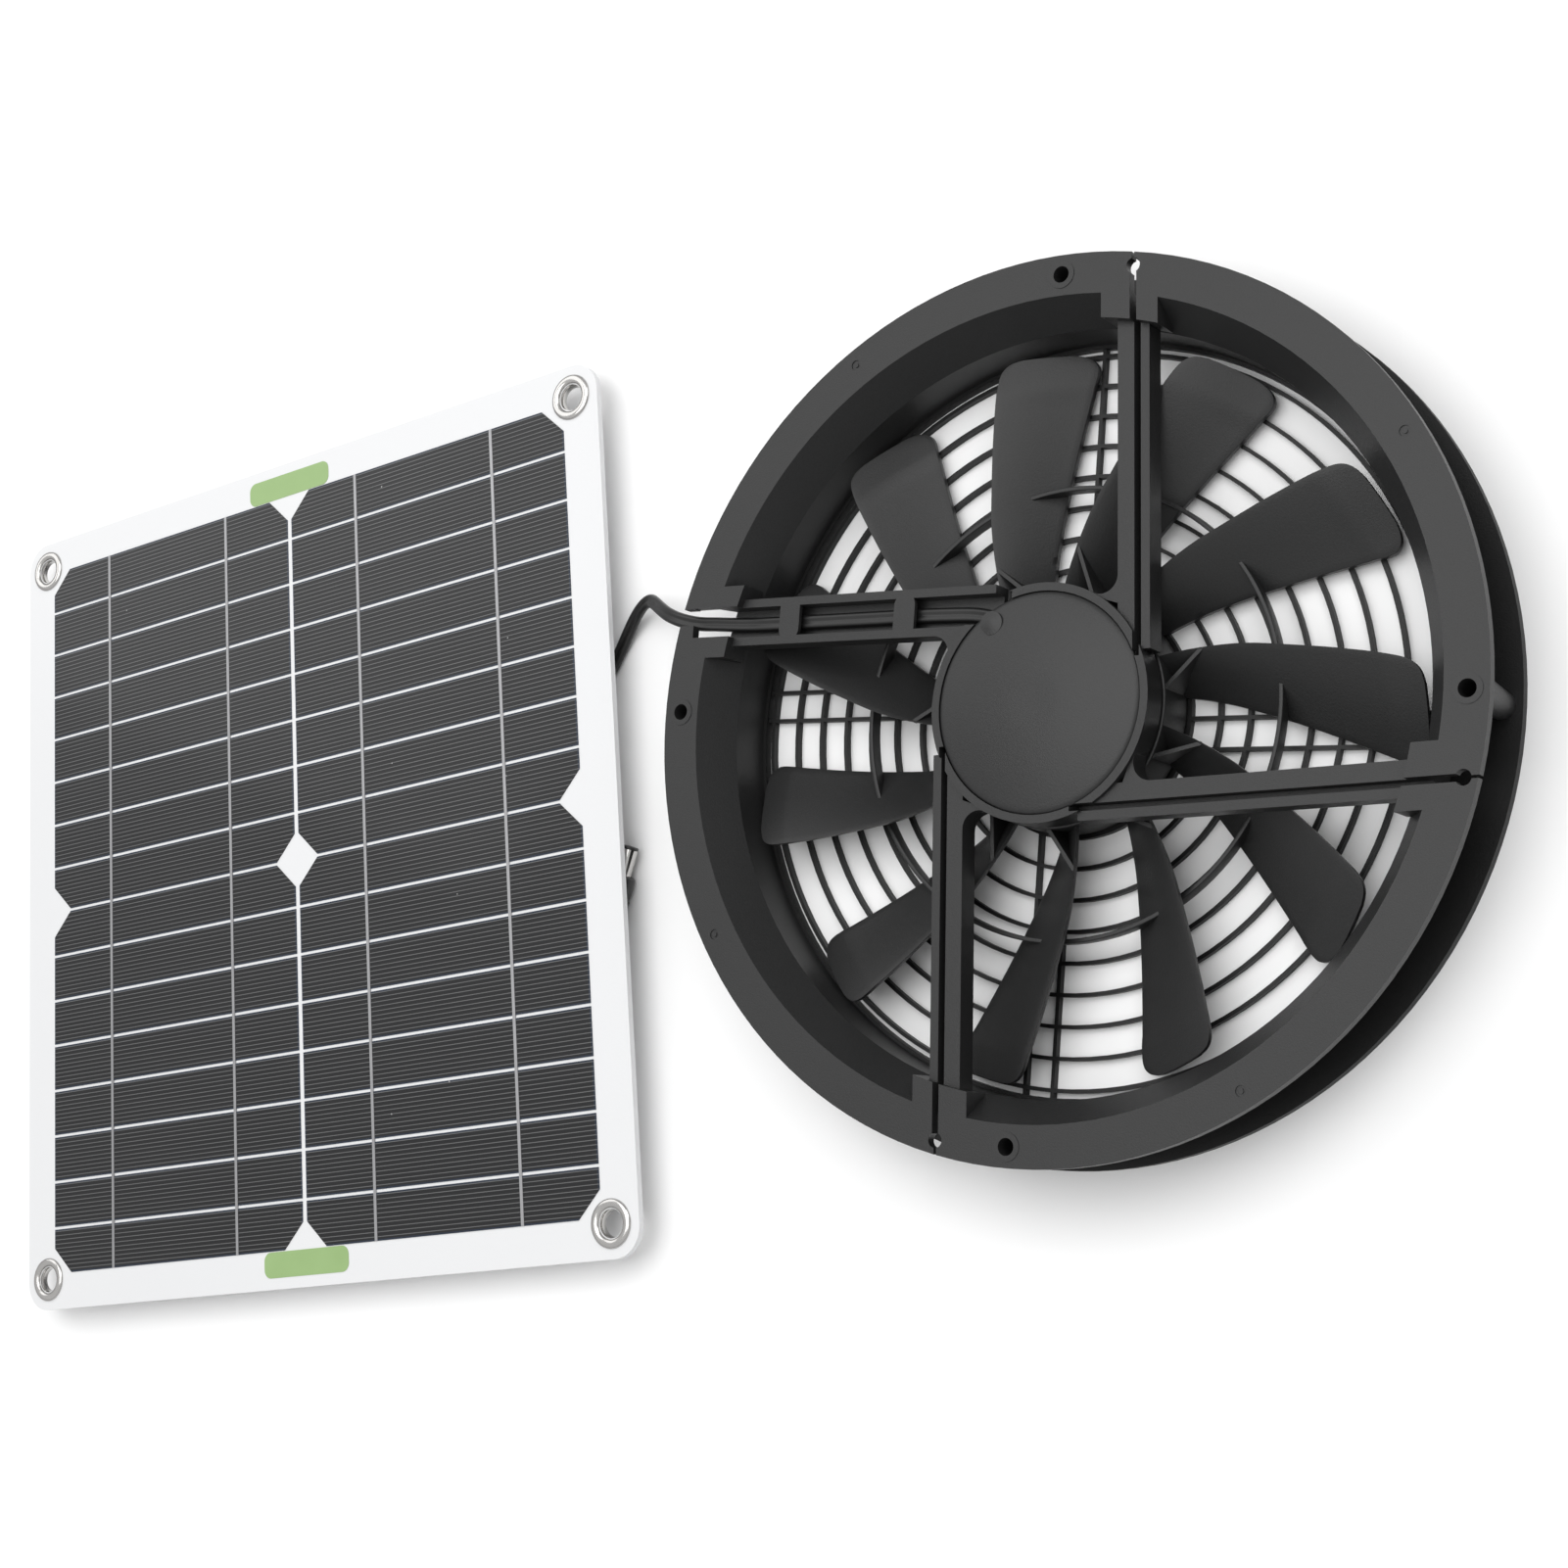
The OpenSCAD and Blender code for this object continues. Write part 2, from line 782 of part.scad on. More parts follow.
module shaft_bush() {
    color([0.78, 0.64, 0.32])
        tube(boss_r, shaft_d / 2, rotor_low + 0.4, boss_top);
}

module shaft() {
    groove_z = floor_top + 0.6;
    color(steel)
        difference() {
            translate([0, 0, rotor_low + 0.6])
                cylinder(h = shaft_top - rotor_low - 0.6, d = shaft_d);
            tube(shaft_d, shaft_d / 2 - 0.35, groove_z, groove_z + 0.5);
        }
}

module spring_washer() {
    color(steel)
        tube(2.9, shaft_d / 2 + 0.1, boss_top, boss_top + 0.8);
}

module retaining_ring() {
    groove_z = floor_top + 0.6;
    color(steel)
        difference() {
            tube(3.2, shaft_d / 2 - 0.35, groove_z + 0.05, groove_z + 0.45);
            block([-0.8, 0, groove_z - 1], [0.8, 5, groove_z + 2]);
        }
}

// ---- lead and plug

module strut_lead() {
    color([0.1, 0.1, 0.1])
        swept(inner_route, lead_d / 2);
}

module free_lead() {
    color([0.1, 0.1, 0.1])
        swept(free_route, lead_d / 2);
}

module lead_coil() {
    color([0.1, 0.1, 0.1])
        translate(coil_pos)
            tube(coil_mid + coil_w / 2, coil_mid - coil_w / 2, 0, coil_h);
}

module plug_lead() {
    color([0.1, 0.1, 0.1])
        swept(plug_route, lead_d / 2);
}

module plug_body() {
    color([0.07, 0.07, 0.07])
        at_plug()
            difference() {
                rotate_extrude()
                    polygon([
                        [0, 0], [plug_r - 0.7, 0], [plug_r, -0.8], [plug_r, -7], [plug_r - 0.5, -14],
                        [plug_r - 1.3, -21], [plug_tail_r, -tail_l], [0, -tail_l]
                    ]);
                translate([0, 0, -barrel_seat])
                    cylinder(h = barrel_seat + 1, r = barrel_d / 2 - seat_step);
            }
}

module plug_barrel() {
    color([0.85, 0.85, 0.87])
        at_plug() {
            tube(barrel_d / 2, barrel_d / 2 - barrel_wall, 0, barrel_l - tip_l);
            tube(barrel_d / 2 - seat_step, barrel_d / 2 - barrel_wall, -barrel_seat, 0.1);
        }
}

module plug_insulator() {
    color([0.07, 0.07, 0.07])
        at_plug() {
            tube(barrel_d / 2 - barrel_wall, pin_hole / 2, -barrel_seat, barrel_l);
            tube(barrel_d / 2, barrel_d / 2 - barrel_wall - 0.05, barrel_l - tip_l, barrel_l);
        }
}

// ---- solar panel

module panel_sheet() {
    corner = 10;
    color([0.94, 0.94, 0.95])
        on_panel()
            difference() {
                translate([0, 0, box_h])
                    linear_extrude(height = panel_t) {
                        square([panel_w, panel_l - 2 * corner], center = true);
                        square([panel_w - 2 * corner, panel_l], center = true);
                        at_corners(panel_w / 2 - corner, panel_l / 2 - corner)
                            circle(r = corner);
                    }
                at_corners(eyelet_x, eyelet_y)
                    translate([0, 0, box_h - 1])
                        cylinder(h = panel_t + 2, d = eyelet_hole + 2 * eyelet_wall);
            }
}

// a strip loses its corners at the two ends of its cell
module strip(at_top, at_bottom) {
    w = cell_w / 2;
    l = strip_l / 2;
    c = cell_cut;
    top = at_top ? [[w, l - c], [w - c, l], [c - w, l], [-w, l - c]] : [[w, l], [-w, l]];
    bottom = at_bottom ? [[-w, c - l], [c - w, -l], [w - c, -l], [w, c - l]] : [[-w, -l], [w, -l]];
    polygon(concat(top, bottom));
}

module cell_strips() {
    last = strips_per_cell - 1;
    color([0.07, 0.08, 0.1])
        on_panel()
            translate([0, 0, sheet_top])
                linear_extrude(height = cell_t)
                    for (x = [-column_x, column_x], i = [0 : 2 * strips_per_cell - 1])
                        translate([x, (strip_l - column_l) / 2 + i * strip_pitch])
                            strip(i % strips_per_cell == last, i % strips_per_cell == 0);
}

module cell_ribbons() {
    color([0.8, 0.8, 0.82])
        on_panel()
            for (x = [-column_x, column_x], side = [-1, 1])
                translate([x + side * cell_w / 4, 0, sheet_top + cell_t])
                    block([-ribbon_w / 2, -column_l / 2, 0], [ribbon_w / 2, column_l / 2, ribbon_t]);
}

module end_labels() {
    label_w = 39;
    label_l = 8.6;
    corner = 3;
    color([0.67, 0.8, 0.55])
        on_panel()
            for (side = [-1, 1])
                translate([0, side * (column_l / 2 + 0.3 + label_l / 2), sheet_top])
                    linear_extrude(height = 0.15) {
                        square([label_w - 2 * corner, label_l], center = true);
                        square([label_w, label_l - 2 * corner], center = true);
                        at_corners(label_w / 2 - corner, label_l / 2 - corner)
                            circle(r = corner);
                    }
}

module eyelets() {
    inner = eyelet_hole / 2;
    color([0.8, 0.8, 0.82])
        on_panel()
            at_corners(eyelet_x, eyelet_y)
                rotate_extrude()
                    polygon([
                        [inner, box_h - 0.4], [inner + eyelet_wall, box_h - 0.4],
                        [inner + eyelet_wall, sheet_top], [eyelet_d / 2, sheet_top],
                        [eyelet_d / 2, sheet_top + 0.4], [eyelet_d / 2 - 1.2, sheet_top + 1],
                        [inner + 1, sheet_top + 1], [inner, sheet_top + 0.3]
                    ]);
}

module eyelet_washers() {
    color([0.8, 0.8, 0.82])
        on_panel()
            at_corners(eyelet_x, eyelet_y)
                tube(eyelet_d / 2, eyelet_hole / 2 + eyelet_wall, box_h - 0.5, box_h);
}

module junction_box() {
    jack_hole = 3.3;
    color([0.1, 0.1, 0.1])
        at_box()
            difference() {
                block([-box_w / 2, -box_l / 2, lid_t], [box_w / 2, box_l / 2, box_h]);
                difference() {
                    block([-box_w / 2 + box_wall, -box_l / 2 + box_wall, lid_t - 1],
                        [box_w / 2 - box_wall, box_l / 2 - box_wall, box_h - box_wall]);
                    at_corners(box_w / 2 - 5, box_l / 2 - 5)
                        cylinder(h = box_h, r = 2.8);
                }
                at_corners(box_w / 2 - 5, box_l / 2 - 5)
                    cylinder(h = box_h - box_wall, r = 1);
                translate([jack_x - 3, jack_y, jack_z])
                    rotate([0, 90, 0])
                        cylinder(h = 10, r = jack_hole);
            }
}

module junction_lid() {
    color([0.1, 0.1, 0.1])
        at_box()
            difference() {
                block([-box_w / 2, -box_l / 2, 0], [box_w / 2, box_l / 2, lid_t]);
                at_corners(box_w / 2 - 5, box_l / 2 - 5) {
                    cylinder(h = lid_t + 1, r = 1);
                    translate([0, 0, -1])
                        cylinder(h = 1.8, r = 2);
                }
            }
}

module lid_screws() {
    color(steel)
        at_box()
            at_corners(box_w / 2 - 5, box_l / 2 - 5) {
                translate([0, 0, 0.2])
                    cylinder(h = 0.6, r = 1.8);
                translate([0, 0, 0.8])
                    cylinder(h = 5.6, r = 1);
            }
}

module terminal_strips() {
    color([0.78, 0.64, 0.32])
        at_box()
            for (y = [-9, 9])
                block([-16, y - 2.5, box_h - box_wall - 1], [16, y + 2.5, box_h - box_wall]);
}

module bypass_diode() {
    color([0.08, 0.08, 0.08])
        at_box()
            translate([4, 0, box_h - box_wall - 1.4])
                rotate([90, 0, 0]) {
                    cylinder(h = 5.2, r = 1.3, center = true);
                    cylinder(h = 18, r = 0.4, center = true);
                }
}

module panel_jack() {
    color([0.07, 0.07, 0.07])
        at_box()
            translate([jack_x, jack_y, jack_z])
                rotate([0, 90, 0])
                    difference() {
                        union() {
                            translate([0, 0, -box_wall])
                                cylinder(h = box_wall + 0.1, r = 3.3);
                            cylinder(h = 2, r = 4.2);
                            translate([0, 0, -13])
                                cylinder(h = 13 - box_wall, r = 3.4);
                        }
                        translate([0, 0, -10])
                            cylinder(h = 13, d = barrel_d + 0.2);
                    }
}

module jack_pin() {
    color(steel)
        at_box()
            translate([jack_x, jack_y, jack_z])
                rotate([0, 90, 0])
                    translate([0, 0, -10])
                        cylinder(h = 9.5, d = pin_hole - 0.2);
}

rear_frame();
front_guard();
motor_cap();
bearing_tube();
front_bearing();
rear_bearing();
stator_core();
stator_insulator();
stator_coils();
phase_pins();
driver_board();
board_screws();
driver_chip();
hall_sensor();
filter_capacitor();
reverse_diode();
impeller();
rotor_yoke();
magnet_ring();
shaft();
shaft_bush();
spring_washer();
retaining_ring();
strut_lead();
free_lead();
lead_coil();
plug_lead();
plug_body();
plug_barrel();
plug_insulator();
panel_sheet();
cell_strips();
cell_ribbons();
end_labels();
eyelets();
eyelet_washers();
junction_box();
junction_lid();
lid_screws();
terminal_strips();
bypass_diode();
panel_jack();
jack_pin();
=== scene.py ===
import bpy
import bmesh
import json
import math
from mathutils import Matrix, Vector


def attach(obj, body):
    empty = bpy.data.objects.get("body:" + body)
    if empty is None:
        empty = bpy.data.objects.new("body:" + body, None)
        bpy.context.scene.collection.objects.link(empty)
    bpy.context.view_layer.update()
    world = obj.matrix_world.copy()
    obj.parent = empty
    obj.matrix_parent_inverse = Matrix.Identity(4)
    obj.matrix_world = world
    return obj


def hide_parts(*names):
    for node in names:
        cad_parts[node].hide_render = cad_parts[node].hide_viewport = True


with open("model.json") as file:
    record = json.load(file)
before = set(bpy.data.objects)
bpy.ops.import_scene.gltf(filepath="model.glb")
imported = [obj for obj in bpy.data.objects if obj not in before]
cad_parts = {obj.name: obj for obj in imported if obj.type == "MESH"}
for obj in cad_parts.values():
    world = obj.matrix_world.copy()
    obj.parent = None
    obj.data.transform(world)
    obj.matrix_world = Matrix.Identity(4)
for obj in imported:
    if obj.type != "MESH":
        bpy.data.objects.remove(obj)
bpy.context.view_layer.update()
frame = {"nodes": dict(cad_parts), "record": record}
scene = bpy.context.scene
mm = 0.001


# ---- camera

cameraPlace = {
    "position": (0.32933, -0.11047, 0.61494),
    "right": (0.82208, 0.07514, -0.56439),
    "up": (0.00789, 0.98965, 0.14326),
    "lens": 56.75,
}
cameraData = bpy.data.cameras.new("camera")
cameraData.lens = cameraPlace["lens"]
cameraData.sensor_width = 36
cameraData.clip_start = 0.01
camera = bpy.data.objects.new("camera", cameraData)
scene.collection.objects.link(camera)
right = Vector(cameraPlace["right"]).normalized()
up = Vector(cameraPlace["up"])
up = (up - right * up.dot(right)).normalized()
turn = Matrix((right, up, right.cross(up))).transposed()
camera.matrix_world = Matrix.Translation(cameraPlace["position"]) @ turn.to_4x4()
scene.camera = camera
scene.view_settings.view_transform = "Standard"


# ---- shader helpers

class Wire:
    # one output of a node, with arithmetic that adds Math nodes
    def __init__(self, finish, socket):
        self.finish = finish
        self.socket = socket

    def maths(self, operation, *values):
        return self.finish.node("ShaderNodeMath", {"operation": operation}, dict(enumerate(values)))

    def __add__(self, other):
        return self.maths("ADD", self, other)

    def __radd__(self, other):
        return self.maths("ADD", other, self)

    def __sub__(self, other):
        return self.maths("SUBTRACT", self, other)

    def __rsub__(self, other):
        return self.maths("SUBTRACT", other, self)

    def __mul__(self, other):
        return self.maths("MULTIPLY", self, other)

    def __rmul__(self, other):
        return self.maths("MULTIPLY", other, self)

    def __truediv__(self, other):
        return self.maths("DIVIDE", self, other)

    def __rtruediv__(self, other):
        return self.maths("DIVIDE", other, self)

    def __gt__(self, other):
        return self.maths("GREATER_THAN", self, other)

    def __lt__(self, other):
        return self.maths("LESS_THAN", self, other)

    def fraction(self):
        return self.maths("FRACT", self)

    def absolute(self):
        return self.maths("ABSOLUTE", self)

    def least(self, other):
        return self.maths("MINIMUM", self, other)


class Finish:
    def __init__(self, name, **fixed):
        self.material = bpy.data.materials.new(name)
        self.material.use_nodes = True
        self.tree = self.material.node_tree
        self.shader = self.tree.nodes["Principled BSDF"]
        for key, value in fixed.items():
            self.shader.inputs[key.replace("_", " ")].default_value = value
        self.place = self.node("ShaderNodeTexCoord", output="Object")

    def node(self, kind, settings=None, inputs=None, output=0):
        made = self.tree.nodes.new(kind)
        for key, value in (settings or {}).items():
            setattr(made, key, value)
        for key, value in (inputs or {}).items():
            if isinstance(value, Wire):
                self.tree.links.new(value.socket, made.inputs[key])
            else:
                made.inputs[key].default_value = value
        return Wire(self, made.outputs[output])

    def noise(self, scale, detail=2, roughness=0.5, where=None):
        return self.node(
            "ShaderNodeTexNoise", {},
            {"Vector": where or self.place, "Scale": scale, "Detail": detail, "Roughness": roughness})

    def blend(self, share, low, high):
        # a colour between two, by a value
        return self.node(
            "ShaderNodeMix", {"data_type": "RGBA"}, {0: share, 6: low, 7: high}, output=2)

    def bump(self, height, distance, strength=1.0):
        raised = self.node(
            "ShaderNodeBump", {}, {"Strength": strength, "Distance": distance, "Height": height})
        self.feed("Normal", raised)

    def feed(self, socket, wire):
        self.tree.links.new(wire.socket, self.shader.inputs[socket])


def grey(value, warm=0.0):
    return (value * (1 + warm), value, value * (1 - warm), 1)


# ---- materials

def mouldedPlastic(name, colour, roughness=0.4, grain=1900, depth=0.0001):
    finish = Finish(name, Metallic=0.0, IOR=1.42)
    cloudy = finish.noise(14, 3)
    fine = finish.noise(grain, 2, 0.6)
    speck = finish.noise(grain * 2.2, 1)
    shade = cloudy * 0.25 + fine * 0.6
    finish.feed("Base Color", finish.blend(shade, grey(colour * 0.6), grey(colour * 1.7, -0.01)))
    finish.feed("Roughness", cloudy * 0.1 + fine * 0.12 + (roughness - 0.1))
    finish.bump(fine * 0.7 + speck * 0.3, depth, 0.8)
    return finish.material


def metal(name, colour, roughness, wear=0.12, grain=220):
    finish = Finish(name, Metallic=1.0)
    cloudy = finish.noise(60, 4)
    fine = finish.noise(grain, 5, 0.65)
    dull = tuple(c * 0.78 for c in colour[:3]) + (1,)
    finish.feed("Base Color", finish.blend(cloudy * 0.6 + fine * 0.3, colour, dull))
    finish.feed("Roughness", fine * wear + cloudy * wear * 0.5 + roughness)
    finish.bump(fine, 0.00002, 0.25)
    return finish.material


def vinyl(name, colour, roughness):
    finish = Finish(name, IOR=1.48)
    streak = finish.noise(300, 2)
    patch = finish.noise(45, 2)
    finish.feed("Base Color", finish.blend(patch, grey(colour * 0.8), grey(colour * 1.3)))
    finish.feed("Roughness", streak * 0.12 + patch * 0.1 + (roughness - 0.1))
    finish.bump(streak, 0.00003, 0.3)
    return finish.material


# where the panel lies is read from its four eyelets
mounts = {mount["name"]: mount for mount in frame["record"]["mounts"]}
lowLeft, lowRight = (Vector(mounts[name]["pos_m"]) for name in ("eyelet_left_low", "eyelet_right_low"))
panelTurn = math.atan2(lowRight.y - lowLeft.y, lowRight.x - lowLeft.x)
eyeletPlaces = [Vector(mount["pos_m"]) for name, mount in mounts.items() if name.startswith("eyelet")]
panelMiddle = sum(eyeletPlaces, Vector()) / 4
panelMiddle.z = 0

cellPattern = {
    "halfColumn": 132.3 * mm,
    "stripPitch": 16.6 * mm,
    "stripLength": 15.6 * mm,
    "columnMiddle": 63.5 * mm,
    "cellWidth": 125 * mm,
    "fingerPitch": 16.6 / 11 * mm,
    "fingerWidth": 0.26 * mm,
}


def onPanel(finish):
    back = Matrix.Rotation(-panelTurn, 3, "Z") @ panelMiddle
    return finish.node(
        "ShaderNodeMapping", {"vector_type": "POINT"},
        {"Vector": finish.place, "Location": tuple(-back), "Rotation": (0, 0, -panelTurn)})


def solarCell():
    c = cellPattern
    finish = Finish("solarCell", IOR=1.35, Coat_Roughness=0.1, Coat_IOR=1.38)
    where = onPanel(finish)
    x = finish.node("ShaderNodeSeparateXYZ", {}, {0: where}, 0)
    y = finish.node("ShaderNodeSeparateXYZ", {}, {0: where}, 1)
    along = y + c["halfColumn"]
    # thin collector lines printed across each strip
    line = (along / c["fingerPitch"] + 0.2).fraction() < c["fingerWidth"] / c["fingerPitch"]
    # distance from the nearest cut edge of the strip
    step = (along / c["stripPitch"]).fraction() * c["stripPitch"]
    edge = step.least(c["stripLength"] - step)
    side = c["cellWidth"] / 2 - (x.absolute() - c["columnMiddle"]).absolute()
    rim = edge.least(side) < 0.55 * mm
    cloudy = finish.noise(9, 4, where=where)
    fine = finish.noise(900, 2)
    silicon = finish.blend(
        cloudy * 0.6 + fine * 0.25, (0.005, 0.0053, 0.006, 1), (0.01, 0.0105, 0.0115, 1))
    withRim = finish.blend(rim * 0.5, silicon, (0.015, 0.03, 0.06, 1))
    printed = finish.blend(line * 0.75, withRim, (0.15, 0.15, 0.153, 1))
    # small pale specks under the film
    spot = finish.node(
        "ShaderNodeTexVoronoi", {}, {"Vector": finish.place, "Scale": 75, "Randomness": 1.0})
    finish.feed("Base Color", finish.blend((spot < 0.022) * 0.6, printed, (0.5, 0.5, 0.5, 1)))
    finish.feed("Roughness", line * 0.1 + fine * 0.12 + 0.3)
    finish.feed("Coat Weight", cloudy * 0.15 + 0.2)
    finish.bump(fine * 0.4 + line * 0.6, 0.00003, 0.5)
    return finish.material


def panelFilm():
    finish = Finish("panelFilm", IOR=1.45, Coat_Roughness=0.15)
    broad = finish.noise(6, 3)
    pebble = finish.node("ShaderNodeTexVoronoi", {}, {"Vector": finish.place, "Scale": 900})
    finish.feed("Base Color", finish.blend(broad, (0.72, 0.724, 0.73, 1), (0.68, 0.685, 0.695, 1)))
    finish.feed("Roughness", pebble * 0.15 + broad * 0.1 + 0.35)
    finish.feed("Coat Weight", broad * 0.2 + 0.2)
    finish.bump(pebble + broad * 3, 0.00004, 0.35)
    return finish.material


def labelFilm():
    finish = Finish("labelFilm", IOR=1.45)
    cloud = finish.noise(80, 3)
    finish.feed("Base Color", finish.blend(cloud, (0.25, 0.38, 0.15, 1), (0.3, 0.44, 0.19, 1)))
    finish.feed("Roughness", cloud * 0.15 + 0.35)
    finish.bump(cloud, 0.00005, 0.3)
    return finish.material


def windingWire():
    finish = Finish("windingWire", Metallic=0.7)
    wave = finish.node(
        "ShaderNodeTexWave", {"bands_direction": "Z"}, {"Vector": finish.place, "Scale": 900})
    cloud = finish.noise(400, 2)
    finish.feed("Base Color", finish.blend(cloud, (0.5, 0.18, 0.05, 1), (0.72, 0.3, 0.1, 1)))
    finish.feed("Roughness", wave * 0.2 + 0.25)
    finish.bump(wave, 0.0001, 0.6)
    return finish.material


def circuitBoard():
    finish = Finish("circuitBoard", IOR=1.5)
    trace = finish.node("ShaderNodeTexBrick", {}, {"Vector": finish.place, "Scale": 260}, 1)
    cloud = finish.noise(120, 2)
    finish.feed("Base Color", finish.blend(
        trace * 0.5 + cloud * 0.2, (0.02, 0.16, 0.07, 1), (0.05, 0.3, 0.13, 1)))
    finish.feed("Roughness", cloud * 0.2 + 0.28)
    finish.bump(trace, 0.00004, 0.4)
    return finish.material


darkPlastic = mouldedPlastic("darkPlastic", 0.017)
guardPlastic = mouldedPlastic("guardPlastic", 0.005, 0.5)
capPlastic = mouldedPlastic("capPlastic", 0.018, 0.36)
bladePlastic = mouldedPlastic("bladePlastic", 0.016, 0.38)
boxPlastic = mouldedPlastic("boxPlastic", 0.012, 0.45, 900)
blackPart = mouldedPlastic("blackPart", 0.012, 0.35, 1800, 0.00002)
insulatorPlastic = mouldedPlastic("insulatorPlastic", 0.62, 0.4)
ferrite = mouldedPlastic("ferrite", 0.07, 0.6, 1200, 0.00006)
cordVinyl = vinyl("cordVinyl", 0.007, 0.34)
plugVinyl = vinyl("plugVinyl", 0.014, 0.32)
nickel = metal("nickel", (0.6, 0.59, 0.575, 1), 0.12, 0.06)
steel = metal("steel", (0.62, 0.62, 0.64, 1), 0.28)
laminated = metal("laminated", (0.34, 0.35, 0.37, 1), 0.42)
turnedBrass = metal("turnedBrass", (0.78, 0.58, 0.25, 1), 0.25)
tinned = metal("tinned", (0.42, 0.42, 0.43, 1), 0.38)
canMetal = metal("canMetal", (0.7, 0.7, 0.72, 1), 0.3)
cellFilm = solarCell()
sheetFilm = panelFilm()
print("materials made")


# ---- geometry helpers

def keep(name, bm, material, body="housing", stands=(), smooth=35):
    # turns a finished bmesh into a piece that rides on a body
    mesh = bpy.data.meshes.new(name)
    bm.to_mesh(mesh)
    bm.free()
    mesh.shade_smooth()
    mesh.set_sharp_from_angle(angle=math.radians(smooth))
    mesh.materials.append(material)
    made = bpy.data.objects.new(name, mesh)
    scene.collection.objects.link(made)
    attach(made, body)
    if stands:
        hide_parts(*stands)
    return made


def turned(bm, profile, steps=96, place=Matrix()):
    # spins a closed outline of (radius, height) points round the place's Z; millimetres
    start = [bm.verts.new(place @ Vector((r * mm, 0, z * mm))) for r, z in profile]
    edges = [bm.edges.new((a, b)) for a, b in zip(start, start[1:] + start[:1])]
    bmesh.ops.spin(
        bm, geom=start + edges, cent=place.translation, axis=place.col[2].to_3d(), dvec=(0, 0, 0),
        angle=2 * math.pi, steps=steps, use_merge=True, use_duplicate=False)
    bmesh.ops.remove_doubles(bm, verts=bm.verts, dist=1e-6)
    bmesh.ops.recalc_face_normals(bm, faces=bm.faces)


def rounded(outline, radius, steps=4):
    # the outline again, with each corner as a short arc
    made = []
    count = len(outline)
    for i, point in enumerate(outline):
        before, after = Vector(outline[i - 1]), Vector(outline[(i + 1) % count])
        here = Vector(point)
        cut = min(radius, (before - here).length * 0.45, (after - here).length * 0.45)
        a = here + (before - here).normalized() * cut
        b = here + (after - here).normalized() * cut
        for k in range(steps + 1):
            t = k / steps
            made.append(tuple(a * (1 - t) ** 2 + here * 2 * t * (1 - t) + b * t * t))
    return made


def smoothPath(points, cuts=4):
    # a smooth line through the route's points
    points = [Vector(p) for p in points]
    padded = [2 * points[0] - points[1], *points, 2 * points[-1] - points[-2]]
    made = []
    for i in range(1, len(padded) - 2):
        p, q, r, s = padded[i - 1:i + 3]
        for k in range(cuts):
            t = k / cuts
            made.append(0.5 * (
                2 * q + (r - p) * t + (2 * p - 5 * q + 4 * r - s) * t * t
                + (3 * q - p - 3 * r + s) * t ** 3))
    made.append(points[-1])
    return made


def sweep(bm, outline, path):
    # carries a closed outline of (side, up) points along a path and caps both ends
    last = len(path) - 1
    ring = None
    for i, point in enumerate(path):
        ahead = (path[min(i + 1, last)] - path[max(i - 1, 0)]).normalized()
        side = Vector((0, 0, 1)).cross(ahead).normalized()
        above = ahead.cross(side)
        places = [point + side * s + above * u for s, u in outline]
        if ring is None:
            ring = [bm.verts.new(p) for p in places]
            edges = [bm.edges.new((a, b)) for a, b in zip(ring, ring[1:] + ring[:1])]
            bm.faces.new(ring)
        else:
            grown = bmesh.ops.extrude_edge_only(bm, edges=edges)["geom"]
            edges = [g for g in grown if isinstance(g, bmesh.types.BMEdge) and g.is_boundary]
            fresh = {}
            for old in ring:
                for edge in old.link_edges:
                    other = edge.other_vert(old)
                    if other in grown:
                        fresh[old] = other
            ring = [fresh[old] for old in ring]
            edges = [bm.edges.get((a, b)) for a, b in zip(ring, ring[1:] + ring[:1])]
            for vert, p in zip(ring, places):
                vert.co = p
    bm.faces.new(ring[::-1])
    bmesh.ops.recalc_face_normals(bm, faces=bm.faces)


# ---- lead, made first because the coil's room depends on it

lead = {
    "coreRadius": 1.12 * mm,
    "coreOffset": 1.1 * mm,
    "width": 4.4 * mm,
    "coilMiddle": (-212, -30),
    "columns": (30, 25.4, 20.8, 16.2),
    "layers": (1.25, 3.55),
    "overLayer": 5.85,
    "start": 81,
    # each turn keeps its radius and layer until the last stretch, 45 degrees long
    "changeAngle": 45,
    "pointsPerTurn": 18,
    # angle, radius and height of the way out over the top of the turns
    "wayOut": ((81, 19.4, 5.85), (98, 21, 5.85), (116, 23, 5.85),
               (134, 25.6, 5.8), (150, 28.2, 5.7), (163, 31.6, 5.5)),
}
strutRoute = [
    (-9, 20.6, 24.65), (-12.5, 22.6, 24.35), (-15.6, 24.2, 23.25), (-18.6, 25.3, 22.65),
    (-24, 26.4, 22.25), (-32, 26.8, 22.25), (-42, 27, 22.25), (-54, 27, 22.25), (-66, 27, 22.25),
    (-78, 27, 22.25), (-90, 27, 22.25), (-100, 27.1, 22.25), (-107, 27.3, 22.65), (-114, 27.7, 23.05),
]
freeRoute = [
    (-114, 27.7, 23.05), (-121, 28.1, 23.45), (-128, 29.6, 23.2), (-134.5, 32, 21.4),
    (-140.5, 35, 18.2), (-146, 37.8, 14.4), (-151, 39.4, 10.6), (-156, 39, 7.2), (-160.6, 36.4, 4.6),
    (-164.4, 32, 2.9), (-167.8, 26, 2.1), (-171.8, 18.6, 1.85), (-177, 11.4, 1.85),
    (-184, 5.8, 2.2), (-192, 2, 3), (-200, 0.2, 3.5),
]
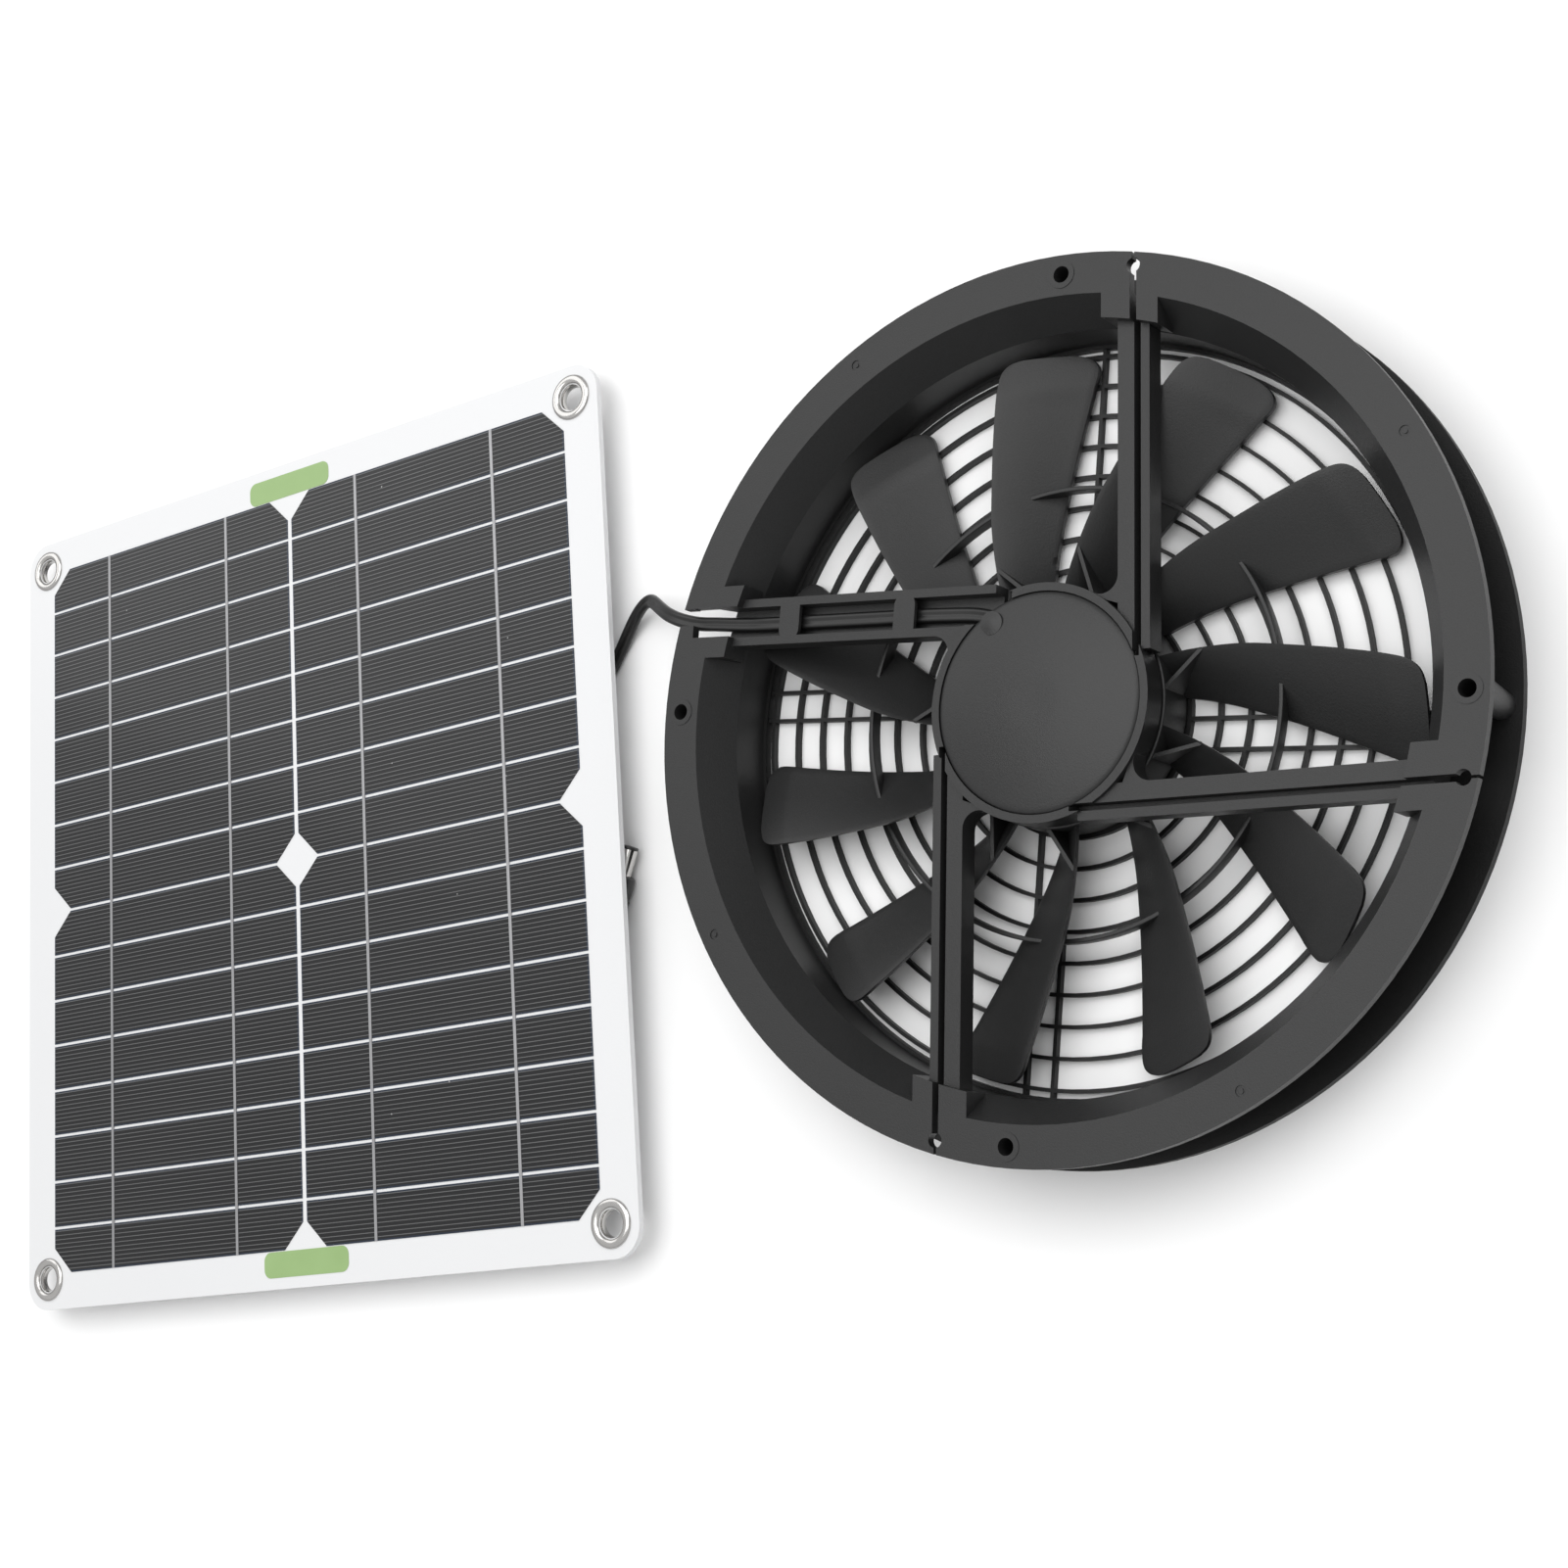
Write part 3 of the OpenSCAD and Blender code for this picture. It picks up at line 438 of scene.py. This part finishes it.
plugRoute = [
    (-247.2, -26.9, 4.6), (-249.8, -34, 3.2), (-250.4, -41, 2.1), (-249.6, -48, 1.85),
    (-247.2, -55.8, 1.85), (-243, -64, 1.85), (-236.5, -72, 1.85), (-228, -79.2, 1.85),
    (-218, -85.3, 1.85), (-207, -90, 1.85), (-196, -93, 1.85), (-188, -94, 1.85), (-181.7, -94, 2.1),
    (-176.2, -93, 2.5), (-171.4, -90.2, 3.1), (-167.9, -86, 3.9), (-166.19, -81.85, 4.5),
    (-164.86, -76.51, 4.5),
]


def coilRoute():
    # four columns of two turns; every change of layer or column is made in the same short stretch
    low, high = lead["layers"]
    steps = [(lead["columns"][0], high)]
    rising = False
    for column in lead["columns"]:
        order = (low, high) if rising else (high, low)
        steps += [(column, z) for z in order]
        rising = not rising
    steps = steps[1:]
    middle = Vector((*lead["coilMiddle"], 0))
    points = []
    change, perTurn = lead["changeAngle"], lead["pointsPerTurn"]
    for i, (radius, z) in enumerate(steps):
        nextRadius, nextZ = steps[i + 1] if i + 1 < len(steps) else (radius + 3, lead["overLayer"])
        for k in range(perTurn):
            angle = k * 360 / perTurn
            share = max(0.0, (angle - (360 - change)) / change)
            share = share * share * (3 - 2 * share)
            r, h = radius + (nextRadius - radius) * share, z + (nextZ - z) * share
            a = math.radians(lead["start"] + angle)
            points.append(middle + Vector((r * math.cos(a), r * math.sin(a), h)))
    for angle, r, h in lead["wayOut"]:
        a = math.radians(angle)
        points.append(middle + Vector((r * math.cos(a), r * math.sin(a), h)))
    return points


def twinOutline():
    half, r = lead["coreOffset"], lead["coreRadius"]
    angles = [math.radians(a) for a in range(-140, 141, 35)]
    right = [(half + r * math.cos(a), r * math.sin(a)) for a in angles]
    return right + [(-s, -u) for s, u in right]


freePath = smoothPath([Vector(p) * mm for p in freeRoute] + [p * mm for p in coilRoute()]
                      + [Vector(p) * mm for p in plugRoute], 3)
bm = bmesh.new()
sweep(bm, twinOutline(), freePath)
freeLead = keep("leadCord", bm, cordVinyl, stands=("free_lead", "lead_coil", "plug_lead"),
                smooth=60)
bm = bmesh.new()
sweep(bm, twinOutline(), smoothPath([Vector(p) * mm for p in strutRoute], 3))
keep("strutCord", bm, cordVinyl, stands=("strut_lead",), smooth=60)

# ---- plug

plugMount = mounts["plug_barrel"]
plug = {
    "direction": Vector(plugMount["axis"]),
    "base": Vector(plugMount["pos_m"]) - Vector(plugMount["axis"]) * 4.75 * mm,
    "barrel": 2.75,
    "hole": 1.05,
    "length": 9.5,
    "fingerRibs": 5,
    "ribPitch": 2.2,
    "reliefRings": 4,
    "reliefPitch": 2.4,
}
plugTurn = plug["direction"].to_track_quat("Z", "Y").to_matrix().to_4x4()
plugPlace = Matrix.Translation(plug["base"]) @ plugTurn


def plugBody():
    # moulded grip with finger ribs and a stepped strain relief
    outline = [(2.78, -2), (2.78, -0.05), (3.7, 0), (4.3, -0.5), (4.45, -1.2), (4.45, -6)]
    z = -6
    for i in range(plug["fingerRibs"]):
        outline += [(4.45, z - 0.5), (4.05, z - 0.8), (4.05, z - 1.5), (4.4, z - 1.8)]
        z -= plug["ribPitch"]
    outline += [(4.2, -18), (3.6, -20)]
    z = -20
    for i in range(plug["reliefRings"]):
        size = 3.3 - i * 0.25
        outline += [(size, z - 0.4), (size, z - 1.5), (size - 0.55, z - 1.7), (size - 0.55, z - 2.3)]
        z -= plug["reliefPitch"]
    outline += [(2.3, -29.8), (1.4, -30), (0.4, -30), (0.4, -2)]
    bm = bmesh.new()
    turned(bm, outline, 48, plugPlace)
    return keep("plugGrip", bm, plugVinyl, stands=("plug_body",), smooth=30)


def plugBarrel():
    r, hole, long = plug["barrel"], plug["hole"], plug["length"]
    outline = [(r, -2), (r, long - 0.95), (r - 0.3, long - 0.9), (r - 0.35, long - 1.2), (r - 0.35, -2)]
    bm = bmesh.new()
    turned(bm, rounded(outline, 0.08, 2), 64, plugPlace)
    barrel = keep("plugBarrel", bm, nickel, stands=("plug_barrel",), smooth=40)
    outline = [(hole, -2), (hole, long - 0.25), (hole + 0.25, long), (r - 0.3, long),
               (r, long - 0.3), (r, long - 0.9), (r - 0.38, long - 0.9), (r - 0.38, -2)]
    bm = bmesh.new()
    turned(bm, rounded(outline, 0.1, 2), 64, plugPlace)
    tip = keep("plugTip", bm, plugVinyl, stands=("plug_insulator",), smooth=40)
    return barrel, tip


plugPieces = [plugBody(), *plugBarrel()]
leadLength = sum((b - a).length for a, b in zip(freePath, freePath[1:]))
print("lead made, free length", round(leadLength, 3), "m")


# ---- impeller, with smoothly twisted blades

fanShape = {
    # radius, angle of the high edge and angle of the low edge
    "rows": [(32.6, 18.5, 2), (38, 16.8, 0), (47, 14, -3), (58, 10.8, -6.4), (70, 7.2, -9.3),
             (83, 4.2, -11.8), (95.3, 1.8, -13.7), (100.3, 0.8, -14.2), (102.8, -0.1, -13.6),
             (104.2, -1.3, -12.3), (104.8, -3, -10.4)],
    "fullTo": (95.3, 1.8, -14.2),
    "low": 4.6,
    "high": 16.8,
    "thick": 1.8,
    "belly": 0.9,
    "edgeRadius": 0.45,
    "firstAngle": 5.5,
    "blades": 11,
    "hub": [(3.4, 3.4), (34, 3.4), (34, 17.2), (32.6, 17.2), (32.6, 5), (3.4, 5)],
    "band": [(63.75, 6), (65.05, 6), (65.05, 10.4), (63.75, 10.4)],
    "webNear": 33,
    "webFar": 46,
    "webThick": 1.1,
}


def bladeRow(t):
    rows = fanShape["rows"]
    i = min(int(t), len(rows) - 2)
    f = t - i
    p, q, r, s = (Vector(rows[min(max(k, 0), len(rows) - 1)]) for k in (i - 1, i, i + 1, i + 2))
    return 0.5 * (
        2 * q + (r - p) * f + (2 * p - 5 * q + 4 * r - s) * f * f
        + (3 * q - p - 3 * r + s) * f ** 3)


def addBlade(bm, start):
    shape = fanShape
    grid = bmesh.ops.create_grid(bm, x_segments=40, y_segments=12, size=0.5)["verts"]
    for vert in grid:
        radius, high, low = bladeRow((vert.co.x + 0.5) * (len(shape["rows"]) - 1))
        share = vert.co.y + 0.5
        angle = math.radians(start + low + (high - low) * share)
        # past the last full-width row the height goes on by angle, so the rounded tip isn't twisted
        if radius > shape["fullTo"][0]:
            fullHigh, fullLow = shape["fullTo"][1:]
            share = (low + (high - low) * share - fullLow) / (fullHigh - fullLow)
            share = min(1, max(0, share))
        z = shape["low"] + (shape["high"] - shape["low"]) * share
        z += shape["belly"] * math.sin(math.pi * share) * (share - 0.5)
        vert.co = Vector((radius * math.cos(angle), radius * math.sin(angle), z)) * mm
    faces = list({face for vert in grid for face in vert.link_faces})
    grown = bmesh.ops.extrude_face_region(bm, geom=faces)["geom"]
    lower = [g for g in grown if isinstance(g, bmesh.types.BMVert)]
    bmesh.ops.translate(bm, verts=lower, vec=(0, 0, -shape["thick"] * mm))
    edges = {edge for vert in grid + lower for edge in vert.link_edges}
    sharp = [e for e in edges if len(e.link_faces) == 2 and e.calc_face_angle(0) > math.radians(50)]
    bmesh.ops.bevel(
        bm, geom=sharp, offset=shape["edgeRadius"] * mm, segments=3, profile=0.5, affect="EDGES",
        material=-1, clamp_overlap=True)


def addWeb(bm, start):
    shape = fanShape
    top = shape["high"] - 0.3
    far = Vector((shape["webFar"], 0)) @ Matrix.Rotation(-math.radians(start + 14), 2)
    near = Vector((shape["webNear"], 0)) @ Matrix.Rotation(-math.radians(start + 2), 2)
    across = (far - near).orthogonal().normalized() * shape["webThick"] / 2
    corners = [(near, shape["low"] + 0.6), (far, top - 1.2), (far, top), (near, top)]
    face = bm.faces.new([bm.verts.new(Vector((*(p - across), z)) * mm) for p, z in corners])
    grown = bmesh.ops.extrude_face_region(bm, geom=[face])["geom"]
    bmesh.ops.translate(
        bm, verts=[g for g in grown if isinstance(g, bmesh.types.BMVert)], vec=Vector((*across * 2, 0)) * mm)


bm = bmesh.new()
for i in range(fanShape["blades"]):
    start = fanShape["firstAngle"] + i * 360 / fanShape["blades"]
    addBlade(bm, start)
    addWeb(bm, start)
turned(bm, rounded(fanShape["hub"], 0.5, 3), 128)
turned(bm, rounded(fanShape["band"], 0.35, 3), 128)
keep("fanWheel", bm, bladePlastic, "rotor", stands=("impeller",), smooth=40)
print("impeller made")

# ---- motor cap

cap = {
    "radius": 31.1,
    "rise": 3.2,
    "seat": 27,
    "skirt": 1.5,
    "wall": 1.3,
    "dimple": 0.22,
    "dimpleRadius": 10,
    "bump": (-15.3, 22.6),
    "bumpBase": 27.2,
    "bumpOutline": [(0.01, 0), (3.4, 0), (3.4, 1.18), (2.8, 1.28), (2, 1.46), (1.2, 1.6),
                    (0.5, 1.66), (0.01, 1.67)],
}


def capProfile():
    ball = (cap["radius"] ** 2 + cap["rise"] ** 2) / (2 * cap["rise"])
    radii = [0.01, *[k * 1.25 for k in range(1, 24)], 29.8, 30.4, 30.8, 31.0, 31.1]
    top = []
    for r in radii:
        z = cap["seat"] + cap["rise"] - ball + math.sqrt(ball * ball - r * r)
        dip = max(0, 1 - (r / cap["dimpleRadius"]) ** 2)
        z -= cap["dimple"] * dip * dip
        z -= 0.5 * (max(0, r - 29.6) / 1.5) ** 3
        top.append((r, z))
    under = [(r, z - cap["wall"]) for r, z in reversed(top) if r < 29.9]
    low = cap["seat"] - cap["skirt"]
    return top + [(31.1, low + 0.2), (30.9, low), (29.9, low)] + under


bm = bmesh.new()
turned(bm, capProfile(), 128)
bumpPlace = Matrix.Translation(Vector((*cap["bump"], cap["bumpBase"])) * mm)
turned(bm, cap["bumpOutline"], 32, bumpPlace)
keep("motorCover", bm, capPlastic, stands=("motor_cap",), smooth=40)
print("motor cap made")

# ---- eyelets

eyelet = {
    "hole": 4.0,
    "rim": 7.7,
    "mouth": 4.75,
    "sheetTop": 11.6,
    "height": 1.0,
    "foot": 9.0,
    "wall": 0.45,
    "throat": [(4.25, 11.0), (4.02, 10.2)],
}


def eyeletProfile():
    middle = (eyelet["rim"] + eyelet["mouth"]) / 2
    half = (eyelet["rim"] - eyelet["mouth"]) / 2
    arc = []
    for k in range(17):
        a = math.pi * k / 16
        arc.append((middle + half * math.cos(a), eyelet["sheetTop"] + eyelet["height"] * math.sin(a) ** 0.8))
    hole, outside = eyelet["hole"], eyelet["hole"] + eyelet["wall"]
    foot, under = eyelet["foot"], eyelet["sheetTop"] - 0.1
    barrel = [(hole, foot), (outside, foot), (outside, under), (eyelet["rim"] - 0.2, under)]
    return arc + eyelet["throat"] + barrel


bm = bmesh.new()
for spot in eyeletPlaces:
    turned(bm, eyeletProfile(), 64, Matrix.Translation((spot.x, spot.y, 0)))
keep("eyeletRings", bm, nickel, stands=("eyelets",), smooth=50)
print("eyelets made")

# ---- moulded parts with their edges eased


def eased(name, node, material, width, angle=38, change=None):
    source = frame["nodes"][node]
    bm = bmesh.new()
    bm.from_mesh(source.data)
    bmesh.ops.remove_doubles(bm, verts=bm.verts, dist=2e-6)
    if change:
        change(bm)
    bmesh.ops.dissolve_limit(
        bm, angle_limit=math.radians(0.5), verts=bm.verts, edges=bm.edges, use_dissolve_boundaries=False)
    piece = keep(name, bm, material, stands=(node,), smooth=30)
    soften = piece.modifiers.new("soften", "BEVEL")
    soften.width = width * mm
    soften.segments = 2
    soften.limit_method = "ANGLE"
    soften.angle_limit = math.radians(angle)
    soften.use_clamp_overlap = True
    soften.harden_normals = False
    return piece


guardBars = {
    "outerRing": 105.2,
    "pitch": 8.85,
    "halfWidth": 0.9,
    "slim": 0.62,
    "spokes": (1.2, 9.9),
    "from": 34.8,
    "to": 107.5,
}


def slimBars(bm):
    # draws both edges of each ring and spoke towards its middle line
    g = guardBars
    for vert in bm.verts:
        flat = Vector(vert.co.xy) / mm
        if not g["from"] < flat.length < g["to"]:
            continue
        quarter = round((math.degrees(math.atan2(flat.y, flat.x)) - 90) / 90)
        turn = Matrix.Rotation(math.radians(90 * quarter), 2)
        local = turn.inverted() @ flat
        middle = g["outerRing"] - round((g["outerRing"] - local.length) / g["pitch"]) * g["pitch"]
        away = local.length - middle
        radius = middle + away * g["slim"] if abs(abs(away) - g["halfWidth"]) < 0.04 else local.length
        across = local.x
        for spoke in g["spokes"]:
            if abs(abs(local.x - spoke) - g["halfWidth"]) < 0.02:
                across = spoke + (local.x - spoke) * g["slim"]
        if across == local.x:
            local *= radius / local.length
        else:
            local = Vector((across, math.sqrt(radius ** 2 - across ** 2)))
        local = turn @ local
        vert.co.x, vert.co.y = local * mm


eased("mouldedGuard", "front_guard", guardPlastic, 0.25, change=slimBars)
eased("boxBody", "junction_box", boxPlastic, 0.4)
eased("boxLid", "junction_lid", boxPlastic, 0.2)
eased("boxSocket", "panel_jack", blackPart, 0.2)
print("edges eased")

# ---- CAD nodes that keep their shape

nodeFinishes = {
    "rear_frame": darkPlastic,
    "bearing_tube": turnedBrass, "shaft_bush": turnedBrass, "phase_pins": turnedBrass,
    "terminal_strips": turnedBrass, "front_bearing": steel, "rear_bearing": steel, "shaft": steel,
    "spring_washer": steel, "retaining_ring": steel, "board_screws": steel, "lid_screws": steel,
    "rotor_yoke": steel, "jack_pin": nickel, "eyelet_washers": nickel,
    "cell_ribbons": tinned, "stator_core": laminated, "stator_insulator": insulatorPlastic,
    "stator_coils": windingWire(), "driver_board": circuitBoard(), "driver_chip": blackPart,
    "hall_sensor": blackPart, "reverse_diode": blackPart, "bypass_diode": blackPart,
    "filter_capacitor": canMetal, "magnet_ring": ferrite,
    "panel_sheet": sheetFilm, "cell_strips": cellFilm, "end_labels": labelFilm(),
}
for name, material in nodeFinishes.items():
    piece = frame["nodes"][name]
    piece.data.materials.clear()
    piece.data.materials.append(material)
print("CAD nodes finished")

# ---- floor and light

bm = bmesh.new()
bmesh.ops.create_grid(bm, x_segments=2, y_segments=2, size=30)
floorMesh = bpy.data.meshes.new("floor")
bm.to_mesh(floorMesh)
bm.free()
floorFinish = Finish("floorFinish", Roughness=0.8)
floorTone = floorFinish.noise(1.5, 2)
floorFinish.feed("Base Color", floorFinish.blend(floorTone, (0.9, 0.9, 0.9, 1), (0.92, 0.92, 0.92, 1)))
floorMesh.materials.append(floorFinish.material)
floor = bpy.data.objects.new("floor", floorMesh)
scene.collection.objects.link(floor)


def softBox(name, place, target, size, power):
    data = bpy.data.lights.new(name, "AREA")
    data.shape = "RECTANGLE"
    data.size, data.size_y = size
    data.energy = power
    lamp = bpy.data.objects.new(name, data)
    lamp.location = place
    lamp.rotation_mode = "QUATERNION"
    lamp.rotation_quaternion = (Vector(target) - Vector(place)).to_track_quat("-Z", "Y")
    scene.collection.objects.link(lamp)
    return lamp


softBox("topLight", (-0.1, 0.3, 1.6), (-0.1, 0, 0), (1.6, 1.6), 16)
softBox("panelLight", (-1.5, 0.85, 1.2), (-0.3, 0.1, 0), (1.4, 1.0), 5)
softBox("fanLight", (0.9, 0.9, 1.1), (0, 0, 0), (0.9, 0.9), 5)
world = bpy.data.worlds.new("world")
world.use_nodes = True
tree = world.node_tree
# paler overhead than near the horizon, as in a light tent with an open front
direction = tree.nodes.new("ShaderNodeTexCoord")
height = tree.nodes.new("ShaderNodeSeparateXYZ")
tone = tree.nodes.new("ShaderNodeValToRGB")
tone.color_ramp.elements[0].position = 0.02
tone.color_ramp.elements[0].color = (0.42, 0.42, 0.425, 1)
tone.color_ramp.elements[1].position = 0.6
tone.color_ramp.elements[1].color = (0.86, 0.86, 0.86, 1)
tree.links.new(direction.outputs["Generated"], height.inputs[0])
tree.links.new(height.outputs[2], tone.inputs[0])
tree.links.new(tone.outputs[0], tree.nodes["Background"].inputs["Color"])
tree.nodes["Background"].inputs["Strength"].default_value = 0.85
scene.world = world
print("light set")
